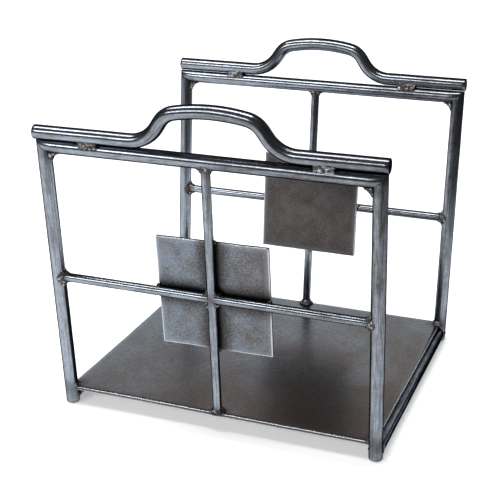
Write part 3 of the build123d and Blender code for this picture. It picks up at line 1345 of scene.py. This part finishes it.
    def build_centre_bar(self) -> None:
        """Centre bar: from the plate's edge up into the rail."""
        f = self.face
        low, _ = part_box(f"{self.name}_centre_bar")
        start = low.z / f.slope.z
        bar = BarMesh(f.point(f.centre_u, start), f.slope, f.outward, f.thin_r)
        bar.run(f.rail_s - self.seat * f.bar_r - start)
        self.finish_bar(bar.close(self.cut_round, self.cut_round), "centre_bar", Slot.THIN_BAR)

    def build_cross_bar(self, hand: Hand) -> None:
        """Half of the cross bar: from inside the centre bar to inside a leg.

        Args:
            hand: which half.
        """
        f = self.face
        start = f.centre_u + hand.value * self.seat / 2 * f.thin_r
        end = hand.value * (f.half_spacing - self.seat * f.bar_r)
        bar = BarMesh(f.point(start, f.cross_s), RIGHT * hand.value, f.outward, f.thin_r)
        bar.run(abs(end - start))
        self.finish_bar(bar.close(self.cut_round, self.cut_round), f"cross_bar_{hand.suffix}", Slot.THIN_BAR)

    def build_panel(self) -> None:
        """Square panel on the bay side of the crossing."""
        f = self.face
        centre_u = middle(f"{self.name}_panel").x
        inner = -(f.thin_r + self.panel_gap + self.panel_t)
        turned = Matrix.Rotation(-f.side.value * self.panel_turn, 4, "Z")
        across = RIGHT * -f.side.value
        axes = Matrix((across, f.slope, f.outward)).transposed().to_4x4()
        where = Matrix.Translation(f.point(centre_u, f.cross_s, inner)) @ axes @ turned
        sheet = SheetMesh(self.panel_side, self.panel_side, self.panel_t, 0.0025,
                          dish=Unevenness(0.0005, 0.055, 3.0 + f.side.value))
        self.bench.steel(sheet.build(where), f"{self.name}_panel", self.panel_steel, Slot.SHEET)

    def fix_weld(self, weld: WeldMesh, part: str) -> None:
        """Fuses a weld and fixes it, under the piece's name without the frame's."""
        self.bench.weld(weld, f"{self.name}_{part}", len(part), self.weld_cell)

    def weld_corners(self) -> None:
        """Hollow fillets in the two inside top corners."""
        f = self.face
        weld = WeldMesh(11 + f.side.value)
        for hand in Hand:
            corner = f.point(hand.value * (f.half_spacing - f.bar_r), f.rail_s - f.bar_r)
            for out, size in self.corner_rows:
                weld.fillet(corner + f.outward * out * MM, RIGHT * -hand.value, -f.slope, size * MM,
                            self.corner_drop, self.axes)
        self.fix_weld(weld, "corner_welds")

    def weld_pads(self) -> None:
        """The two solid weld pads between the handle bar and the rail."""
        f = self.face
        weld = WeldMesh(23 + f.side.value)
        s = (f.rail_s + f.handle_s) / 2
        for middle_u in self.pad_places():
            for step in range(self.pad_columns):
                part = step / (self.pad_columns - 1) - 0.5
                u = middle_u + part * (self.pad_length - 4.0 * MM)
                aside = self.handle_out_at(u) / 2
                for out in self.pad_rows:
                    for up in self.pad_levels:
                        place = f.point(u, s + up * MM, out * MM + aside)
                        weld.bead([place], self.pad_drop, self.axes, 0.08)
        self.fix_weld(weld, "handle_welds")

    def weld_cross_bars(self) -> None:
        """Collars where the cross bars meet the legs."""
        f = self.face
        weld = WeldMesh(31 + f.side.value)
        for hand in Hand:
            leg = f.point(hand.value * f.half_spacing, f.cross_s)
            axes = Matrix((f.slope, f.outward, RIGHT * -hand.value)).transposed()
            weld.collar(leg, axes, f.thin_r, f.bar_r, self.cross_collar)
        self.fix_weld(weld, "cross_bar_welds")

    def weld_crossing(self) -> None:
        """Small hollow fillets in the four corners of the crossing."""
        f = self.face
        weld = WeldMesh(41 + f.side.value)
        for right in (-1, 1):
            for up in (-1, 1):
                corner = f.point(f.centre_u + right * f.thin_r, f.cross_s + up * f.thin_r)
                for out in self.crossing_rows:
                    weld.fillet(corner + f.outward * out * MM, RIGHT * right, f.slope * up,
                                self.crossing_size, self.crossing_drop, self.axes)
        self.fix_weld(weld, "crossing_welds")

    def weld_centre_bar(self) -> None:
        """Collars at the centre bar's top and foot."""
        f = self.face
        top = WeldMesh(53 + f.side.value)
        rail = f.point(f.centre_u, f.rail_s)
        down = Matrix((RIGHT, f.outward, -f.slope)).transposed()
        top.collar(rail, down, f.thin_r, f.bar_r, self.rail_collar)
        self.fix_weld(top, "centre_bar_top_weld")
        foot = WeldMesh(61 + f.side.value)
        stand = f.point(f.centre_u, plate_top() / f.slope.z + self.foot_lift)
        up = Matrix((RIGHT, f.outward, f.slope)).transposed()
        foot.collar(stand, up, f.thin_r, 0.0, self.foot_collar)
        self.fix_weld(foot, "centre_bar_foot_weld")

    def weld_tacks(self) -> None:
        """Tacks where the panel's edges cross the bars."""
        f = self.face
        weld = WeldMesh(71 + f.side.value)
        centre_u = middle(f"{self.name}_panel").x
        half = self.panel_side / 2
        beside = 0.7 * f.thin_r
        places = ((centre_u - half, f.cross_s + beside), (centre_u + half, f.cross_s + beside),
                  (f.centre_u + beside, f.cross_s + half), (f.centre_u + beside, f.cross_s - half))
        for u, s in places:
            weld.bead([f.point(u, s, -f.thin_r)] * 3, self.tack_drop, self.axes, 0.18)
        self.fix_weld(weld, "panel_tack_welds")


# ---------------------------------------------------------------------------------------------
# The base
# ---------------------------------------------------------------------------------------------


@dataclass
class RackBase:
    """The base: sheet plate on two side bars, with its welds.

    Sizes are in metres, but seat is in side bar radii.
    """

    front: FrameFace
    rear: FrameFace
    bench: Bench
    stitch_places: tuple[float, ...] = (-0.080, 0.0, 0.080)
    stitch_length: float = 0.016
    stitch_steps: int = 7
    stitch_drop: tuple[float, float, float] = (2.6 * MM, 2.0 * MM, 1.5 * MM)
    bead_drop: tuple[float, float, float] = (1.5 * MM, 1.9 * MM, 1.3 * MM)
    bead_steps: int = 14
    fillet_size: float = 3.6 * MM
    fillet_drop: float = 1.3 * MM
    weld_cell: float = 0.0004
    cut_round: float = 0.0004
    seat: float = 0.8
    axes: Matrix = Matrix.Identity(3)

    def build(self) -> None:
        """Builds every piece of the base."""
        self.build_plate()
        for hand in Hand:
            self.build_side_bar(hand)
        self.weld_plate_corners()
        self.weld_side_bars()
        self.weld_stitches()

    def build_plate(self) -> None:
        """Base plate, from frame to frame, with the legs in its corners."""
        low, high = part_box("base_plate")
        size = high - low
        where = Matrix.Translation(Vector(((low.x + high.x) / 2, (low.y + high.y) / 2, low.z)))
        sheet = SheetMesh(size.x, size.y, size.z, 0.005, dish=Unevenness(0.0008, 0.14, 7.0))
        self.bench.steel(sheet.build(where), "base_plate", self.bench.finishes.plate, Slot.SHEET)

    def build_side_bar(self, hand: Hand) -> None:
        """Side bar, between a front foot and a rear foot.

        Args:
            hand: which side bar.
        """
        node = f"side_bar_{hand.suffix}"
        low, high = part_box(node)
        radius = (high.z - low.z) / 2
        start = Vector(((low.x + high.x) / 2, low.y + self.seat * radius, (low.z + high.z) / 2))
        bar = BarMesh(start, Vector((0, 1, 0)), RIGHT, radius)
        bar.run(high.y - low.y - 2 * self.seat * radius)
        bm = bar.close(self.cut_round, self.cut_round)
        Unevenness(0.0001, 0.020, hand.value).apply(bm)
        self.bench.steel(bm, node, self.bench.finishes.bar, Slot.BAR)

    def feet(self) -> list[tuple[FrameFace, Hand]]:
        """The four feet."""
        return [(face, hand) for face in (self.front, self.rear) for hand in Hand]

    def fix_weld(self, weld: WeldMesh, node: str) -> None:
        """Fuses a weld and fixes it."""
        self.bench.weld(weld, node, len(node), self.weld_cell)

    def weld_plate_corners(self) -> None:
        """Hollow fillets on the plate round each leg."""
        weld = WeldMesh(83)
        for face, hand in self.feet():
            leg = face.point(hand.value * face.half_spacing, plate_top() / face.slope.z)
            for step in range(-2, 13):
                turn = math.radians(90 * step / 10)
                away = Vector((-hand.value * math.cos(turn), -face.side.value * math.sin(turn), 0))
                weld.fillet(leg + away * (face.bar_r - 0.3 * MM), away, UP, self.fillet_size,
                            self.fillet_drop, self.axes)
        self.fix_weld(weld, "plate_corner_welds")

    def weld_side_bars(self) -> None:
        """Beads round the side bars where they meet the legs."""
        weld = WeldMesh(97)
        for face, hand in self.feet():
            low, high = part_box(f"side_bar_{hand.suffix}")
            z = (low.z + high.z) / 2
            leg = face.point(hand.value * face.half_spacing, z / face.slope.z)
            for step in range(self.bead_steps):
                turn = math.tau * step / self.bead_steps
                ring = Vector((math.cos(turn), 0, math.sin(turn))) * (face.bar_r - 0.4 * MM)
                if ring.z < 2 * MM:
                    inwards = face.bar_r * abs(math.sin(turn)) + 1.2 * MM
                    place = leg + ring - Vector((0, face.side.value * inwards, 0))
                    weld.bead([place], self.bead_drop, self.axes, 0.12)
        self.fix_weld(weld, "side_bar_welds")

    def weld_stitches(self) -> None:
        """Short welds under the plate, along the side bars."""
        weld = WeldMesh(103)
        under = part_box("base_plate")[0].z
        for hand in Hand:
            low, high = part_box(f"side_bar_{hand.suffix}")
            x = (low.x + high.x) / 2 - hand.value * (high.z - low.z) * 0.30
            for y in self.stitch_places:
                for step in range(self.stitch_steps):
                    part = step / (self.stitch_steps - 1) - 0.5
                    place = Vector((x, y + part * (self.stitch_length - 4 * MM), under - 1.0 * MM))
                    weld.bead([place], self.stitch_drop, self.axes, 0.14)
        self.fix_weld(weld, "plate_side_welds")


# ---------------------------------------------------------------------------------------------
# Studio
# ---------------------------------------------------------------------------------------------


@dataclass(frozen=True)
class SoftBox:
    """One rectangular soft light."""

    name: str
    place: Vector
    aim: Vector
    size: tuple[float, float]
    power: float
    shows: bool = True

    def build(self) -> None:
        """Hangs the light."""
        light = bpy.data.lights.new(self.name, "AREA")
        light.shape = "RECTANGLE"
        light.size, light.size_y = self.size
        light.energy = self.power
        holder = add_object(self.name, light)
        aim = (self.aim - self.place).to_track_quat("-Z", "Y")
        holder.matrix_world = Matrix.Translation(self.place) @ aim.to_matrix().to_4x4()
        holder.visible_glossy = self.shows


@dataclass(frozen=True)
class Studio:
    """Floor, lights, room and camera."""

    floor_half: float = 9.0
    room: float = 0.10
    azimuth: float = 21.061
    elevation: float = 20.850
    roll: float = -0.130
    stand: Vector = Vector((0.354508, -0.96602, 0.520805))
    lens: float = 80.853
    sensor: float = 36.0

    def build(self) -> None:
        """Sets the studio up."""
        self.build_floor()
        self.build_room()
        for box in self.soft_boxes():
            box.build()
        self.build_camera()

    def build_floor(self) -> None:
        """Pale floor."""
        bm = bmesh.new()
        bmesh.ops.create_grid(bm, x_segments=8, y_segments=8, size=self.floor_half)
        mesh = to_mesh(bm, "floor")
        mesh.materials.append(FloorFinish().build())
        floor = add_object("floor", mesh)

    def build_room(self) -> None:
        """Dim grey room round the softboxes."""
        scene = bpy.context.scene
        world = bpy.data.worlds.new("room")
        world.use_nodes = True
        world.node_tree.nodes["Background"].inputs["Color"].default_value = (1, 1, 1, 1)
        world.node_tree.nodes["Background"].inputs["Strength"].default_value = self.room
        scene.world = world
        scene.view_settings.view_transform = "Standard"

    def soft_boxes(self) -> tuple[SoftBox, ...]:
        """Lists the lights: hidden ones that fill, and seen ones that the steel mirrors.

        Returns:
            The lights.
        """
        rack = Vector((0, 0, 0.15))
        under = Vector((-0.40, -0.10, 0.0))
        return (
            SoftBox("overhead", Vector((-0.40, -0.15, 1.45)), under, (1.7, 0.8), 6, shows=False),
            SoftBox("overhead_strip", Vector((-0.40, -0.22, 1.45)), under, (1.30, 0.34), 13.5),
            SoftBox("beside_camera", Vector((-0.85, -2.1, 1.15)), rack, (1.0, 0.42), 12, shows=False),
            SoftBox("beside_camera_strip", Vector((-0.88, -2.1, 1.15)), rack, (1.45, 0.40), 17),
            SoftBox("backdrop", Vector((0.0, 2.4, 2.3)), Vector((0, 2.6, 0)), (4.0, 2.6), 80, shows=False),
            SoftBox("backdrop_card", Vector((-1.0, 3.4, 1.15)), rack, (7.0, 2.0), 55),
        )

    def build_camera(self) -> None:
        """Camera at its stand, level but for a slight roll."""
        turn, lift = math.radians(self.azimuth), math.radians(self.elevation)
        right = Vector((math.cos(turn), math.sin(turn), 0))
        back = Vector((math.sin(turn) * math.cos(lift), -math.cos(turn) * math.cos(lift), math.sin(lift)))
        axes = Matrix((right, back.cross(right), back)).transposed().to_4x4()
        data = bpy.data.cameras.new("camera")
        data.lens = self.lens
        data.sensor_width = self.sensor
        camera = add_object("camera", data)
        roll = Matrix.Rotation(math.radians(self.roll), 4, "Z")
        camera.matrix_world = Matrix.Translation(self.stand) @ axes @ roll
        bpy.context.scene.camera = camera


def main() -> None:
    """Builds the rack and its studio."""
    logging.basicConfig(level=logging.INFO, format="%(name)s: %(message)s")
    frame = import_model()
    plate_low, plate_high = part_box("base_plate")
    plate = plate_high - plate_low
    finishes = Finishes(
        bar=BarFinish("bar_steel").build(),
        thin_bar=BarFinish("thin_bar_steel", steel=(0.300, 0.340, 0.392), fine_lines=1100.0).build(),
        # Painted light: the plate is lighter towards the left and the rear.
        plate=SheetFinish("plate_steel", plate.x / 2, plate.y / 2, plate.z, patina=(0.156, 0.131, 0.118),
                          rubbed=(0.215, 0.243, 0.270), sheen=0.31, clouds=14.0, mottle=0.6,
                          stretch=(0.25, 1.0, 1.0), drift=(-1.5, 1.9)).build(),
        weld=WeldFinish("weld_metal").build(),
    )
    bench = Bench(SootMap(), finishes)
    front = FrameFace.read(Side.FRONT, frame["record"])
    rear = FrameFace.read(Side.REAR, frame["record"])
    half, thick = RackFrame.panel_side / 2, RackFrame.panel_t
    # Painted light: the front panel is lighter towards the left.
    front_panel = SheetFinish("front_panel_steel", half, half, thick, patina=(0.100, 0.090, 0.085),
                              rubbed=(0.158, 0.186, 0.222), bar_band=0.020, drift=(-4.0, 0.0)).build()
    # Painted shade: the rear panel's colours are darker than the front panel's, standing in for the darker
    # reflection it catches.
    rear_panel = SheetFinish("rear_panel_steel", half, half, thick, patina=(0.078, 0.063, 0.055),
                             rubbed=(0.110, 0.107, 0.109), bar_band=0.020).build()
    RackFrame(front, bench, front_panel, hump_u=0.0085, pad_insets=(0.0455, 0.045),
              panel_turn=math.radians(0.8), handle_out=0.0014, handle_turn=math.radians(0.75)).build()
    RackFrame(rear, bench, rear_panel, hump_u=0.0026, pad_insets=(0.0585, 0.053),
              panel_turn=0.0, handle_out=0.0, handle_turn=0.0).build()
    RackBase(front, rear, bench).build()
    Studio().build()


if __name__ == "__main__":
    main()
